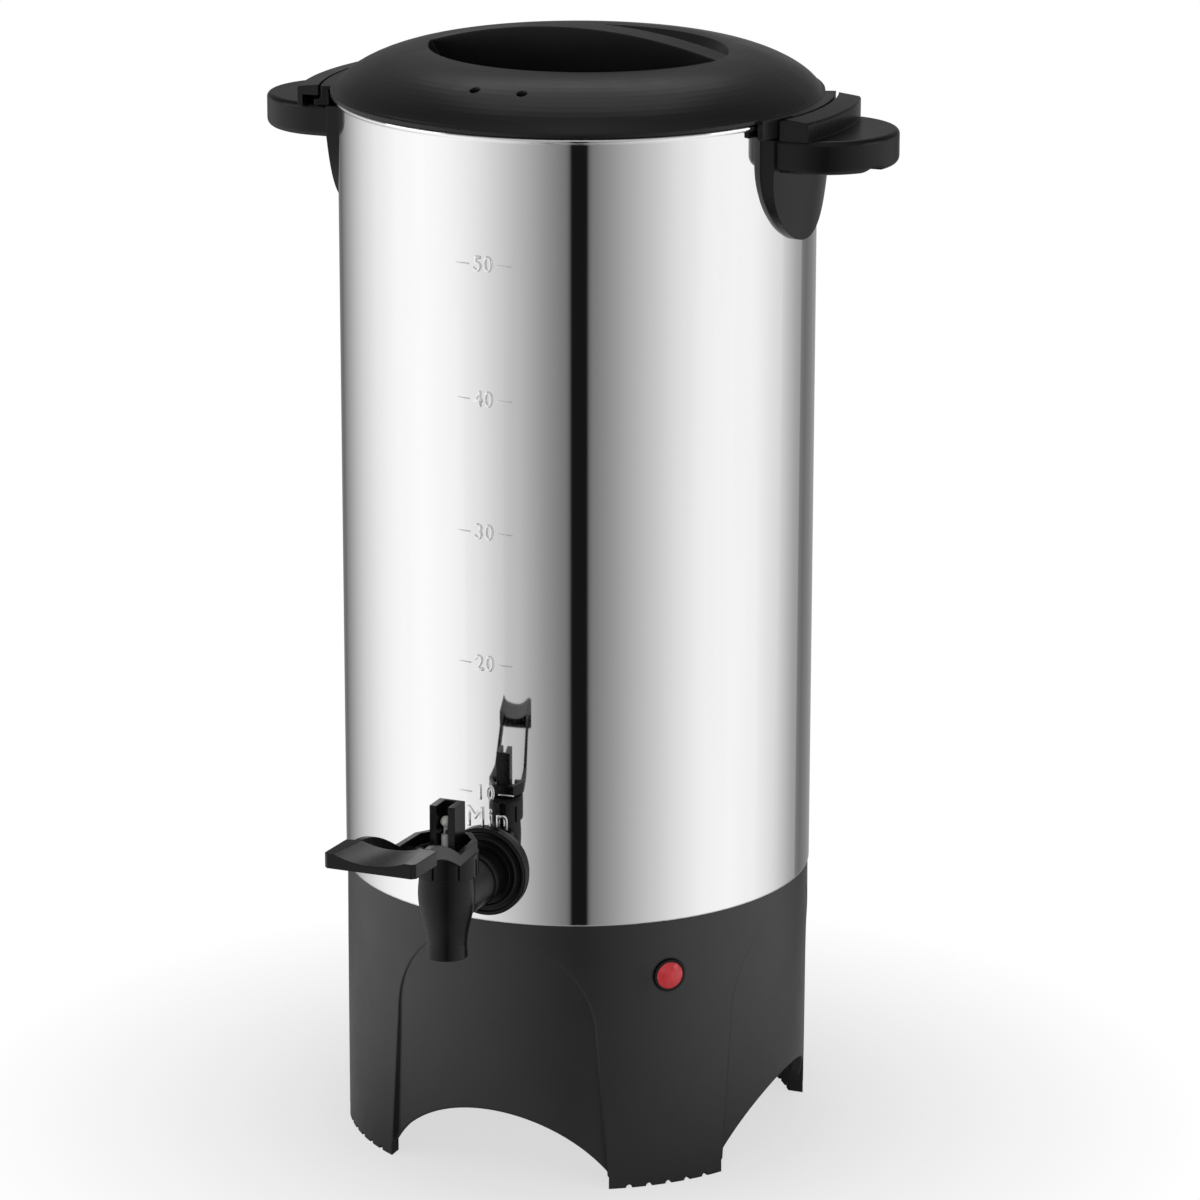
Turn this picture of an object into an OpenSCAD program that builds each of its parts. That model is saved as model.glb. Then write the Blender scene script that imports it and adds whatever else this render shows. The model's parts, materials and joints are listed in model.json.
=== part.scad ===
// Coffee urn: steel tank on a plastic base, twist-lock lid, lever tap and percolator set.
// Origin: on the tank's axis at the level of the feet. +Z is up, the tap faces -Y,
// and the handles are at +X and -X. All lengths are in millimetres.

/* [Tank] */
// Outer radius of the steel tank
tank_r = 95; // [90:0.5:105]
// Height of the tank from the base seam to the top of its rolled rim
tank_h = 315.5; // [280:0.5:360]
// Thickness of the tank's wall
tank_wall = 0.8; // [0.6:0.1:1.2]
// Thickness of the tank's floor
floor_t = 1.2; // [0.8:0.1:2]
// Radius of the rolled bead round the rim
bead_r = 1.2; // [0.8:0.1:1.4]

/* [Base] */
// Height of the base, from the feet to the seam under the tank
base_h = 111.5; // [108:0.5:130]
// How far the base's top edge lies inside the tank's outer face
base_inset = 0.5; // [0:0.1:2]
// How much wider the feet are than the top edge, on the radius
base_flare = 0.7; // [0:0.1:2]
// Wall of the base behind its recessed panels
base_wall = 3; // [2:0.1:4]
// Thickness of the deck that the tank stands on
deck_t = 3; // [2:0.1:4]
// Radius of the hole in the deck, round the heaters
deck_hole_r = 66; // [64:0.5:70]
// Half the angle that each foot arch spans
arch_half_angle = 30; // [26:0.5:33]
// Height of each foot arch
arch_h = 31; // [24:0.5:33]
// Radius of the curve over each foot arch
arch_r = 56.5; // [54:0.5:62]
// Depth of each recessed panel at the feet, fading to nothing at its top
panel_depth = 1.9; // [1:0.1:2.5]
// Distance from the seam down to the top of a recessed panel
panel_margin = 4.5; // [3:0.1:8]
// Radius of the round head of a recessed panel
panel_head_r = 43; // [38:0.5:45]
// Radius of the small notches under each foot
notch_r = 1.3; // [0.8:0.1:1.8]
// Angle between two neighbouring notches
notch_step = 5; // [4:0.1:6]
// Height of the bottom cover's underside
cover_z = 34; // [34:0.5:40]
// Thickness of the bottom cover
cover_t = 1.5; // [1:0.1:2.5]
// Radius of the circle that the cover's screws lie on
cover_screw_pcr = 78; // [74:0.5:82]
// Radius of the bosses that take the cover's screws
boss_r = 5; // [4:0.1:6]
// Radius of the circle that the tank's studs lie on
stud_pcr = 78; // [73:0.5:82]

/* [Heaters] */
// Outer radius of the heater well that drops through the tank's floor
well_r = 25; // [22:0.5:27]
// Wall of the heater well
well_wall = 1; // [0.8:0.1:1.5]
// Depth of the heater well below the seam
well_depth = 14; // [11:0.5:18]
// Width of the well's flange
well_flange = 6; // [4:0.5:8]
// Thickness of the gasket under the well's flange
gasket_t = 1.5; // [1:0.1:2.5]
// Width of the ring nut that clamps the well
ring_nut_w = 6; // [4:0.5:7]
// Height of the ring nut
ring_nut_h = 6; // [4:0.5:8]
// Thickness of the brewing heater's cast disc
brew_t = 8; // [6:0.5:10]
// Inner radius of the keep-warm heater
warm_in_r = 36; // [35:0.5:38]
// Width of the keep-warm heater's ring
warm_w = 11; // [8:0.5:12]
// Thickness of the keep-warm heater
warm_t = 4; // [3:0.5:6]
// Radius of the thermostat
thermostat_r = 7.5; // [6:0.1:8]
// Height of the thermostat
thermostat_h = 9; // [7:0.5:12]

/* [Lamp and power inlet] */
// Height of the lamp above the feet
lamp_z = 88.5; // [70:0.5:98]
// Radius of the lamp's lens
lens_r = 5.5; // [4:0.1:6]
// Width of the bezel round the lens
bezel_w = 1; // [1:0.1:3]
// Height of the power inlet's middle above the feet
inlet_z = 68; // [60:0.5:76]
// Width of the power inlet's body
inlet_w = 27; // [24:0.5:30]
// Height of the power inlet's body
inlet_h = 20; // [18:0.5:22]
// Depth of the power inlet's body behind its flange
inlet_depth = 17; // [15:0.5:20]
// Distance from the inlet's middle to each of its screws
inlet_screw_x = 19; // [18:0.5:21]

/* [Handles] */
// Drop from the tank's rim to the top face of a handle
handle_drop = 6.6; // [6:0.1:8]
// Thickness of a handle's grip
handle_t = 13.4; // [12.5:0.1:16]
// Half the width of a handle
handle_half_w = 30; // [27:0.5:31]
// Distance from the tank's face to the centre of a grip's round end
handle_reach = 8; // [6:0.5:14]
// Height of the locking collar above a handle's top face
collar_h = 7.2; // [7:0.1:9]
// Distance from the tank's face to the collar's inner lip
lip_offset = 8.2; // [7.5:0.1:9]
// Thickness of the collar's lip
lip_t = 3.3; // [2:0.1:3.5]
// Distance from the tank's face to the collar's outer face
collar_offset = 17; // [16:0.1:19]
// Thickness of the collar's outer wall
collar_wall = 2.2; // [1.5:0.1:3]
// How much higher the lip's inner edge is than its outer edge
lip_slope = 0.9; // [0:0.1:1.5]
// Radius of each finger groove under a grip
groove_r = 6; // [4:0.1:8]
// Depth of a finger groove
groove_depth = 3; // [1.5:0.1:3.5]
// Distance between the two finger grooves
groove_pitch = 24; // [18:0.5:28]
// How much wider the back plate is than the grip, on each side
plate_margin = 2.2; // [1:0.1:4]
// Thickness of the back plate against the tank
tongue_t = 5.2; // [4:0.1:5.5]
// Thickness of the plate at the tip of its tongue
tongue_tip_t = 2; // [1.5:0.1:2.5]
// Radius of the handles' screws
handle_screw_r = 2; // [1.5:0.1:2.5]

/* [Lid] */
// How far the lid's rim overhangs the tank's outer face
lid_overhang = 2.8; // [2.5:0.1:3.5]
// Height of the lid's upright rim
lid_rim_h = 1.6; // [1.2:0.1:3]
// Height of the dome's crest above the lid's lower edge
crest_rise = 17.6; // [15:0.1:22]
// Radius of the dome's crest
crest_r = 60; // [54:0.5:64]
// Fullness of the dome, where 2 is an ellipse and 1 a straight cone
dome_power = 1.63; // [1.3:0.01:2.2]
// Radius of each finger pocket's mouth
pocket_r = 62.5; // [58:0.5:65]
// Distance from the axis to the centre of a pocket's arc
pocket_shift = 8; // [6:0.5:12]
// Depth of the finger pockets below the crest
pocket_depth = 14.9; // [12:0.1:15]
// How much narrower the pockets' floor is than their mouth, on the radius
pocket_draft = 9; // [3:0.5:14]
// Width of the grip bar
bar_w = 12.5; // [10:0.5:16]
// Height of the grip bar's middle above the crest
bar_rise = 8.9; // [6:0.1:12]
// Thickness of the lid's shell
lid_wall = 2.5; // [2:0.1:3]
// Depth of the skirt below the tank's rim
skirt_depth = 9; // [8:0.1:12]
// Thickness of the skirt
skirt_t = 3; // [2.8:0.1:3.5]
// Height of the seal in the skirt's groove
seal_h = 3; // [2:0.1:3.5]
// Angle from the handle's middle to the locking end of an ear
ear_lock_angle = 13; // [12:0.1:14]
// Angle from the handle's middle to the open end of an ear
ear_open_angle = 19.5; // [18:0.1:24]
// Radius of each vent hole
vent_r = 2; // [1:0.1:3]
// Distance of the vent holes from the axis
vent_pcr = 80; // [76:0.5:88]

/* [Tap] */
// Height of the tap's shank above the base seam
tap_rise = 21; // [21:0.5:30]
// Distance from the tank's face to the nozzle's axis
tap_reach = 38; // [36:0.5:50]
// Distance from the shank's axis down to the tip of the spout
spout_drop = 23; // [20:0.1:30]
// Radius of the shank between nozzle and rosette
shank_r = 10.5; // [9:0.1:10.8]
// Radius of the threaded shank through the tank's wall
thread_r = 8; // [7.5:0.1:8.2]
// Radius of the rosette against the tank
rosette_r = 18; // [17:0.1:20]
// Radius of the nozzle's belly
belly_r = 11.2; // [10.8:0.1:12.5]
// Radius of the spout's tip
spout_r = 7.8; // [7.2:0.1:9]
// Radius of the water bore through shank and spout
bore_r = 5.5; // [4.5:0.1:6]
// Radius of the valve chamber
chamber_r = 8; // [7.6:0.1:8.4]
// Radius of the bonnet
bonnet_r = 12.6; // [12:0.1:13.5]
// Height of the bonnet
bonnet_h = 9.8; // [8:0.1:12]
// Radius of the valve stem
stem_r = 2; // [1.5:0.1:2.3]
// Radius of the ball on top of the stem
ball_r = 2.2; // [2:0.1:2.4]

/* [Tap lever] */
// Half the width of the lever's pad
pad_half_w = 18.8; // [17:0.1:22]
// Length of the pad along the lever
pad_len = 20.5; // [16:0.5:26]
// Distance from the nozzle's axis to the pad's front edge
lever_len = 71.5; // [66:0.5:85]
// Height by which the pad's top lies above the ring's top
lever_rise = 13; // [8:0.5:16]
// Height of the lever's arms
lever_t = 5; // [4:0.1:6]
// Depth of the thumb scoop in the pad
scoop_depth = 2.8; // [1.5:0.1:3.5]
// Half the outer width of the ring round the stem
ring_half_w = 14.2; // [13.6:0.1:15]
// Thickness of the lever's arms
arm_w = 2.4; // [1.8:0.1:2.4]
// Half the width of the upright that holds the stem's ball
tower_half_w = 5.3; // [4.8:0.1:6]

/* [Percolator] */
// Outer radius of the pump tube
tube_r = 5.6; // [4.5:0.1:6.5]
// Wall of the pump tube
tube_wall = 0.8; // [0.6:0.1:1.2]
// Gap between the top of the pump tube and the tank's rim
tube_headroom = 7; // [6:0.5:14]
// Outer radius of the coffee basket
basket_r = 66; // [50:0.5:74]
// Height of the coffee basket
basket_h = 88; // [60:0.5:100]
// Wall of the coffee basket
basket_wall = 0.8; // [0.6:0.1:1.2]
// Distance from the tank's rim down to the basket's rim
basket_drop = 17; // [17:0.5:30]
// Radius of the holes in the basket and its cover
perf_r = 1.5; // [0.8:0.1:2]
// Radius of the innermost ring of drain holes
drain_in_r = 18; // [14:0.5:22]
// Distance from the basket's wall to its outermost drain holes
drain_margin = 10; // [8:0.5:14]
// Distance from the basket's wall to the outermost holes in its cover
cover_margin = 14; // [12:0.5:18]

/* [Fits] */
// Radial play of a running fit
run_play = 0.08; // [0.05:0.01:0.1]
// Gap between pieces that are only put together
seat_gap = 0.3; // [0.2:0.05:0.4]

/* [Hidden] */
$fn = 96;

black = "#1c1c1e";
dark_grey = "#2e2e30";
steel = "#c9ccd0";
silicone = "#e8e6e0";

// Levels
z_seam = base_h;
z_floor = z_seam + floor_t;
z_rim = z_seam + tank_h;
tank_in_r = tank_r - tank_wall;

// Base
base_top_r = tank_r - base_inset;
foot_r = base_top_r + base_flare;
base_in_r = base_top_r - panel_depth - base_wall;
deck_z = z_seam - deck_t;
panel_top = z_seam - panel_margin;
arch_half_w = foot_r * sin(arch_half_angle);
far = foot_r + 10;
cover_top = cover_z + cover_t;
boss_angle = 30;
screw_r = 1.5;
screw_head_r = 3;
screw_head_h = 2;
screw_len = 10;
stud_r = 2;
stud_len = 10;
nut_h = 3.2;
nut_r = 4;

// Heaters
well_bottom = z_seam - well_depth;
flange_r = well_r + well_flange;
ring_nut_r = well_r + ring_nut_w;
warm_out_r = warm_in_r + warm_w;
thermostat_pcr = (warm_out_r + deck_hole_r) / 2;
tab_w = 6.3;
tab_t = 0.8;
tab_len = 8;
fuse_r = 2;
fuse_len = 14;

// Lamp and inlet
bezel_r = lens_r + bezel_w;
barrel_r = lens_r + 0.4;
bezel_t = 1.5;
lamp_flat = sqrt(pow(wall_r(lamp_z), 2) - pow(bezel_r, 2)) - 0.4;
clip_r = barrel_r + 3;
clip_t = 2;
clip_y = sqrt(pow(base_in_r, 2) - pow(clip_r, 2)) - 0.1 - clip_t;
inlet_wall = 1.5;
inlet_flange_t = 2;
inlet_flange_half_w = inlet_screw_x + 5;
inlet_flange_h = inlet_h + 4;
inlet_pad_t = 4;

// Handles
handle_top = z_rim - handle_drop;
handle_bottom = handle_top - handle_t;
grip_x = tank_r + handle_reach;
lip_r = tank_r + lip_offset;
collar_r = tank_r + collar_offset;
collar_top = handle_top + collar_h;
groove_x = tank_r + 14;
tongue_r = handle_half_w + plate_margin;
tongue_top = handle_bottom + 1.2;
handle_screw_angle = 9;
handle_screw_z = handle_top - handle_t / 2;
handle_screw_len = 12;
handle_screw_head = 2;

// Lid
lid_r = tank_r + lid_overhang;
lid_z = z_rim + seat_gap;
dome_r = lid_r - 0.6;
crest_z = lid_z + crest_rise;
pocket_z = crest_z - pocket_depth;
pocket_floor_r = pocket_r - pocket_draft;
bar_top = crest_z + bar_rise;
bar_half_len = sqrt(pow(pocket_r, 2) - pow(pocket_shift + bar_w / 2, 2));
bar_arc_r = arc_radius(bar_half_len, bar_rise);
skirt_r = tank_in_r - 0.7;
skirt_in_r = skirt_r - skirt_t;
skirt_z = z_rim - skirt_depth;
seal_z = skirt_z + 2;
seal_groove = 1.5;
ear_r = lip_r - 1.2;
ear_in_r = ear_r - 3;
ear_foot_r = lip_r + 1.5;
ear_t = 1.3;
ear_foot_z = handle_top + 0.6;
ear_foot_t = 2.2;
ear_tail_angle = 9.5;
ear_tail_in_r = tank_r + 2.6;
ear_tail_out_r = ear_in_r + 1.2;
stop_y = ear_foot_r * sin(ear_lock_angle) + 1;

// Tap
tap_z = z_seam + tap_rise;
tap_y = tank_r + tap_reach;
spout_z = tap_z - spout_drop;
seat_z = tap_z - 6.5;
seat_h = 4;
bonnet_z = tap_z + 11;
bonnet_top = bonnet_z + bonnet_h;
bonnet_roof = 3;
neck_r = 9.8;
rosette_y = tank_r + 5;
gasket_r = 14;
gasket_y = tank_r + 1.5;
nut_wall = 4;
ball_z = bonnet_top + 11;
stem_neck_r = 1.05;
cup_r = chamber_r - 1;
cup_z = seat_z + seat_gap;
cup_h = 5;
spring_r = 4.6;
spring_wire = 0.5;
spring_turns = 6;

// Tap lever
ring_bottom = bonnet_top + seat_gap;
ring_top = ring_bottom + lever_t - 0.5;
ring_front = 18;
ring_back = 8;
fulcrum_y = 9.5;
press_angle = 10;
fork_z = ball_z - ball_r - seat_gap;
fork_t = 1.4;
tower_front = 3.8;
tower_lean = (ball_z + 1.6 - ring_bottom) * sin(press_angle);
tower_in_back = ball_r + tower_lean + 0.5;
tower_back = tower_in_back + 1.4;
tower_top = ball_z + 7;
pad_back = lever_len - pad_len;
pad_top = ring_top + lever_rise;
window_front = pad_back - 0.5;
scoop_half_w = pad_half_w * 0.77;
scoop_r = arc_radius(scoop_half_w, scoop_depth);

// Percolator
well_in_z = well_bottom + well_wall;
pump_r = well_r - well_wall - 1;
pump_h = 9;
pump_top = well_in_z + pump_h;
tube_top = z_rim - tube_headroom;
basket_top = z_rim - basket_drop;
basket_z = basket_top - basket_h;
basket_tube_r = tube_r + 0.6;
stop_t = 1.5;
stop_r = tube_r + 4;
cover_rim_t = 1;

// Radius of the arc that has this half chord and this height
function arc_radius(half, rise) = (half * half + rise * rise) / (2 * rise);

// Outer radius of the base's wall at height z
function wall_r(z) = base_top_r + base_flare * (1 - z / base_h);

// Puts what is built facing -Y at this angle round the axis
module at_angle(a) {
    rotate([0, 0, a]) children();
}

// A cylinder that lies along -Y, from y0 outwards
module outward(y0, z, r, len) {
    translate([0, -y0, z]) rotate([90, 0, 0]) cylinder(r = r, h = len);
}

// ---- Tank ----

module tank() {
    color(steel) difference() {
        rotate_extrude($fn = 180) union() {
            translate([0, z_seam]) square([tank_r, floor_t]);
            translate([tank_in_r, z_seam]) square([tank_wall, tank_h - bead_r]);
            translate([tank_in_r + bead_r, z_rim - bead_r]) circle(r = bead_r, $fn = 32);
        }
        translate([0, 0, z_seam - 1]) cylinder(r = well_r + run_play, h = floor_t + 2);
        outward(tank_in_r - 2, tap_z, thread_r + run_play, 4);
        for (side = [0, 180], a = [-handle_screw_angle, handle_screw_angle])
            at_angle(side + 90 + a)
                outward(tank_in_r - 2, handle_screw_z, handle_screw_r + run_play, 4);
    }
}

module tank_studs() {
    color(steel) for (k = [0:3]) at_angle(90 * k)
        translate([0, -stud_pcr, z_seam - stud_len]) cylinder(r = stud_r, h = stud_len, $fn = 32);
}

module tank_nuts() {
    color(steel) for (k = [0:3]) at_angle(90 * k)
        translate([0, -stud_pcr, deck_z - nut_h]) difference() {
            cylinder(r = nut_r, h = nut_h, $fn = 6);
            translate([0, 0, -1]) cylinder(r = stud_r + run_play, h = nut_h + 2, $fn = 32);
        }
}

// ---- Base ----

module arch_cut() {
    intersection() {
        translate([0, 0, arch_h - arch_r]) outward(base_in_r - 25, 0, arch_r, 60);
        translate([-arch_half_w, -far, -1]) cube([2 * arch_half_w, 60, arch_h + 2]);
    }
}

module panel_outline() {
    head_z = panel_top - panel_head_r;
    polygon([[-arch_half_w, -1], [arch_half_w, -1],
             [panel_head_r, head_z], [-panel_head_r, head_z]]);
    translate([0, head_z]) intersection() {
        circle(r = panel_head_r);
        translate([-panel_head_r, 0]) square([2 * panel_head_r, panel_head_r]);
    }
}

module panel_cut() {
    intersection() {
        translate([0, -base_in_r / 2, 0]) rotate([90, 0, 0])
            linear_extrude(height = far) panel_outline();
        difference() {
            translate([0, 0, -1]) cylinder(r = far, h = panel_top + 1, $fn = 180);
            translate([0, 0, -2]) cylinder(r = foot_r - panel_depth, h = 2.01, $fn = 180);
            cylinder(r1 = foot_r - panel_depth, r2 = wall_r(panel_top) + 0.02,
                     h = panel_top + 0.01, $fn = 180);
        }
    }
}

module base_housing() {
    color(dark_grey) difference() {
        union() {
            rotate_extrude($fn = 180) polygon([
                [base_in_r, 0], [foot_r, 0], [base_top_r, z_seam],
                [deck_hole_r, z_seam], [deck_hole_r, deck_z], [base_in_r, deck_z]]);
            for (k = [0:3]) at_angle(boss_angle + 90 * k)
                translate([0, -cover_screw_pcr, cover_top])
                    cylinder(r = boss_r, h = deck_z - cover_top + 0.5);
            at_angle(180) translate([-inlet_flange_half_w - 2, -base_in_r,
                                     inlet_z - inlet_flange_h / 2 - 2])
                cube([2 * inlet_flange_half_w + 4, inlet_pad_t, inlet_flange_h + 4]);
        }
        for (k = [0:3]) at_angle(90 * k) {
            arch_cut();
            panel_cut();
            translate([0, -stud_pcr, deck_z - 1])
                cylinder(r = stud_r + seat_gap, h = deck_t + 2, $fn = 32);
        }
        for (k = [0:3], n = [-2:2]) at_angle(45 + 90 * k + notch_step * n)
            outward(base_in_r - 1, 0, notch_r, foot_r - base_in_r + 2);
        for (k = [0:3]) at_angle(boss_angle + 90 * k)
            translate([0, -cover_screw_pcr, cover_top - 1])
                cylinder(r = screw_r + run_play, h = screw_len + 1, $fn = 32);
        at_angle(45) {
            outward(base_in_r - 5, lamp_z, barrel_r + run_play, 20);
            outward(lamp_flat, lamp_z, bezel_r + 0.2, 5);
        }
        at_angle(180) {
            translate([-inlet_flange_half_w - 0.5, -base_in_r - 10,
                       inlet_z - inlet_flange_h / 2 - 0.5])
                cube([2 * inlet_flange_half_w + 1, 10, inlet_flange_h + 1]);
            translate([-inlet_w / 2 - seat_gap, -base_in_r - 1, inlet_z - inlet_h / 2 - seat_gap])
                cube([inlet_w + 2 * seat_gap, inlet_pad_t + 2, inlet_h + 2 * seat_gap]);
            for (s = [-1, 1]) translate([s * inlet_screw_x, 0, 0])
                outward(base_in_r - inlet_pad_t - 1, inlet_z, screw_r + run_play, 8);
        }
    }
}

module base_cover() {
    color(steel) difference() {
        translate([0, 0, cover_z]) cylinder(r = base_in_r - seat_gap, h = cover_t, $fn = 180);
        for (k = [0:3]) at_angle(boss_angle + 90 * k)
            translate([0, -cover_screw_pcr, cover_z - 1])
                cylinder(r = screw_r + seat_gap, h = cover_t + 2, $fn = 32);
        for (n = [-3:3]) translate([9 * n - 1.5, -22, cover_z - 1]) cube([3, 44, cover_t + 2]);
    }
}

module cover_screws() {
    color(steel) for (k = [0:3]) at_angle(boss_angle + 90 * k) translate([0, -cover_screw_pcr, 0]) {
        translate([0, 0, cover_z - screw_head_h])
            cylinder(r = screw_head_r, h = screw_head_h, $fn = 32);
        translate([0, 0, cover_z - 0.5]) cylinder(r = screw_r, h = screw_len - 1, $fn = 32);
    }
}

// ---- Heaters ----

module heater_well() {
    color(steel) rotate_extrude() union() {
        translate([0, well_bottom]) square([well_r, well_wall]);
        translate([well_r - well_wall, well_bottom])
            square([well_wall, z_floor + gasket_t + well_wall - well_bottom]);
        translate([well_r - well_wall, z_floor + gasket_t])
            square([well_flange + well_wall, well_wall]);
    }
}

module ring(z, r_in, r_out, t) {
    translate([0, 0, z]) difference() {
        cylinder(r = r_out, h = t);
        translate([0, 0, -1]) cylinder(r = r_in, h = t + 2);
    }
}

module well_gasket() {
    color(silicone) ring(z_floor, well_r + run_play, flange_r, gasket_t);
}

module ring_nut() {
    color(steel) difference() {
        ring(z_seam - ring_nut_h, well_r + run_play, ring_nut_r, ring_nut_h);
        for (k = [0:3]) at_angle(45 + 90 * k)
            translate([-2.5, -ring_nut_r - 1, z_seam - ring_nut_h - 1]) cube([5, 3, 4]);
    }
}

// A flat push-on terminal that hangs at radius r
module terminal(r, z) {
    translate([-tab_w / 2, -r - tab_t, z - tab_len]) cube([tab_w, tab_t, tab_len + 0.5]);
}

module brew_heater() {
    brew_r = well_r - 1;
    color("#8d8f92") {
        translate([0, 0, well_bottom - brew_t]) difference() {
            cylinder(r = brew_r, h = brew_t);
            translate([0, 0, -1]) cylinder(r = 9, h = 4);
        }
        for (a = [70, 110]) at_angle(a) terminal(15, well_bottom - brew_t);
    }
}

module keep_warm_heater() {
    color("#b9a77c") {
        ring(z_seam - warm_t, warm_in_r, warm_out_r, warm_t);
        for (a = [150, 165]) at_angle(a) terminal((warm_in_r + warm_out_r) / 2, z_seam - warm_t);
    }
}

module thermostat() {
    color("#d8d2c0") at_angle(200) {
        translate([0, -thermostat_pcr, z_seam - thermostat_h])
            cylinder(r = thermostat_r, h = thermostat_h, $fn = 48);
        for (s = [-3, 3]) translate([s, 0, 0])
            translate([-0.4, -thermostat_pcr - 2, z_seam - thermostat_h - 6]) cube([0.8, 4, 6.5]);
    }
}

module thermal_fuse() {
    color("#d9c9a0") translate([0, 0, well_bottom - brew_t - fuse_r])
        rotate([90, 0, 0]) {
            translate([-14, 0, -fuse_len / 2]) cylinder(r = fuse_r, h = fuse_len, $fn = 32);
            translate([-14, 0, -fuse_len / 2 - 6]) cylinder(r = 0.5, h = fuse_len + 12, $fn = 16);
        }
}

// ---- Lamp ----

module lamp_holder() {
    color(black) at_angle(45) difference() {
        union() {
            outward(lamp_flat, lamp_z, bezel_r, bezel_t);
            outward(base_in_r - 9, lamp_z, barrel_r, lamp_flat - base_in_r + 9.2);
            for (s = [-2.5, 2.5]) translate([s - 0.4, -base_in_r + 8, lamp_z - 1.5])
                cube([0.8, 7, 3]);
        }
        outward(lamp_flat - 3, lamp_z, lens_r, 10);
    }
}

module lamp_lens() {
    dome_h = 2;
    dome_sphere_r = arc_radius(lens_r, dome_h);
    color("#c41022") at_angle(45) {
        outward(lamp_flat - 3, lamp_z, lens_r, bezel_t + 3);
        intersection() {
            translate([0, -lamp_flat - bezel_t - dome_h + dome_sphere_r, lamp_z])
                sphere(r = dome_sphere_r);
            outward(lamp_flat + bezel_t - 0.1, lamp_z, lens_r, dome_h + 1);
        }
    }
}

module lamp_clip() {
    color(steel) at_angle(45) difference() {
        outward(clip_y, lamp_z, clip_r, clip_t);
        outward(clip_y - 1, lamp_z, barrel_r + run_play, clip_t + 2);
    }
}

// ---- Power inlet ----

module inlet_socket() {
    color(black) at_angle(180) difference() {
        union() {
            translate([-inlet_flange_half_w, -base_in_r - inlet_flange_t,
                       inlet_z - inlet_flange_h / 2])
                cube([2 * inlet_flange_half_w, inlet_flange_t, inlet_flange_h]);
            translate([-inlet_w / 2, -base_in_r - 0.5, inlet_z - inlet_h / 2])
                cube([inlet_w, inlet_depth + 0.5, inlet_h]);
        }
        translate([-inlet_w / 2 + inlet_wall, -base_in_r - inlet_flange_t - 1,
                   inlet_z - inlet_h / 2 + inlet_wall])
            cube([inlet_w - 2 * inlet_wall, inlet_depth + inlet_flange_t - 1,
                  inlet_h - 2 * inlet_wall]);
        for (s = [-1, 1]) translate([s * inlet_screw_x, 0, 0])
            outward(base_in_r - 1, inlet_z, screw_r + run_play, 5);
        inlet_pin_set(run_play);
    }
}

// The three flat pins, grown all round by g
module inlet_pin_set(g) {
    for (p = [[-7, -2], [7, -2], [0, 2]])
        translate([p[0] - 1 - g, -base_in_r - inlet_flange_t + 2, inlet_z + p[1] - 2 - g])
            cube([2 + 2 * g, inlet_depth + inlet_flange_t + 4, 4 + 2 * g]);
}

module inlet_pins() {
    color(steel) at_angle(180) inlet_pin_set(0);
}

module inlet_screws() {
    color(steel) at_angle(180) for (s = [-1, 1]) translate([s * inlet_screw_x, 0, 0]) {
        outward(base_in_r - inlet_pad_t - 2, inlet_z, screw_r, inlet_pad_t + inlet_flange_t + 2.5);
        outward(base_in_r + inlet_flange_t, inlet_z, screw_head_r - 0.3, screw_head_h - 0.3);
    }
}

// ---- Handles ----

// Half of the grip's rounded cross-section, from its middle out to width w
module grip_half(w) {
    top_round = 2;
    low_round = 3;
    translate([0, handle_t / 2]) square([w - top_round, handle_t / 2]);
    square([w - low_round, handle_t / 2]);
    translate([0, low_round]) square([w, handle_t - low_round - top_round]);
    translate([w - top_round, handle_t - top_round]) circle(r = top_round, $fn = 32);
    translate([w - low_round, low_round]) circle(r = low_round, $fn = 32);
}

module grip() {
    translate([tank_r - 12, 0, handle_bottom]) rotate([90, 0, 90])
        linear_extrude(height = grip_x - tank_r + 12) {
            grip_half(handle_half_w);
            mirror([1, 0]) grip_half(handle_half_w);
        }
    translate([grip_x, 0, handle_bottom]) rotate_extrude() grip_half(handle_half_w);
}

module collar_section() {
    round_r = 1.2;
    translate([collar_r - collar_wall, handle_top - 0.5])
        square([collar_wall, collar_h - lip_t + 1]);
    lip_z = collar_top - lip_t;
    polygon([[lip_r, lip_z], [collar_r, lip_z], [collar_r, collar_top - round_r],
             [collar_r - round_r, collar_top], [lip_r, collar_top + lip_slope]]);
    translate([collar_r - round_r, collar_top - round_r]) circle(r = round_r, $fn = 32);
}

module collar() {
    intersection() {
        rotate_extrude($fn = 180) collar_section();
        translate([0, -handle_half_w, handle_top - 0.5])
            cube([collar_r + 5, handle_half_w + tongue_r, collar_h + lip_slope + 1]);
    }
    // The closed end, which stops the lid's ear
    intersection() {
        ring(handle_top - 0.5, ear_in_r + 1.6, collar_r - 1, collar_h + 0.5);
        translate([0, -handle_half_w, handle_top - 0.5])
            cube([collar_r + 5, handle_half_w - stop_y, collar_h + 1]);
    }
}

module back_plate() {
    intersection() {
        union() {
            translate([0, 0, tongue_top - tongue_r])
                cylinder(r1 = tank_r + tongue_tip_t, r2 = tank_r + tongue_t,
                         h = tongue_r, $fn = 180);
            translate([0, 0, tongue_top - 0.01])
                cylinder(r = tank_r + tongue_t, h = handle_top - tongue_top + 0.01, $fn = 180);
        }
        union() {
            translate([tank_r / 2, 0, tongue_top]) rotate([0, 90, 0])
                cylinder(r = tongue_r, h = tank_r);
            translate([tank_r / 2, -tongue_r, tongue_top])
                cube([tank_r, 2 * tongue_r, handle_top - tongue_top]);
        }
    }
}

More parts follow.
